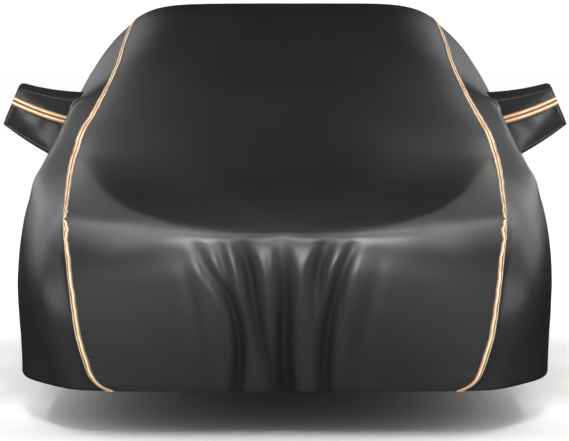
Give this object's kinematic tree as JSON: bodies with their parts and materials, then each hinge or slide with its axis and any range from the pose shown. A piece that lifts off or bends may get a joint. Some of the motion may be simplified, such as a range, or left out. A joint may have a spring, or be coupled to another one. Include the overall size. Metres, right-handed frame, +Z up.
{
  "type": "fitted car cover",
  "caption": "Fitted cover for a saloon car: long centre panel, side panels, boxed mirror pockets and reflective seam tapes; hollow and open underneath.",
  "frame": {"origin": "underside of the cloth at the roof's crown, on the middle plane", "axes": "the cover's front faces -Y and its rear +Y, +Z is up, and the middle plane is X = 0"},
  "size_m": [2.0694, 4.5809, 1.3071],
  "materials": {
    "cover_cloth": "padded woven cloth with a semi-gloss coating, dark charcoal",
    "reflective_tape": "woven tape with raised cream reflective lines on gold-brown"
  },
  "bodies": {
    "root": {"centre_panel": "cover_cloth", "side_panel_left": "cover_cloth", "side_panel_right": "cover_cloth", "mirror_front_left": "cover_cloth", "mirror_band_left": "cover_cloth", "mirror_back_left": "cover_cloth", "mirror_front_right": "cover_cloth", "mirror_band_right": "cover_cloth", "mirror_back_right": "cover_cloth", "seam_tape_left": "reflective_tape", "seam_tape_right": "reflective_tape", "mirror_tape_left": "reflective_tape", "mirror_tape_right": "reflective_tape"}
  },
  "joints": []
}
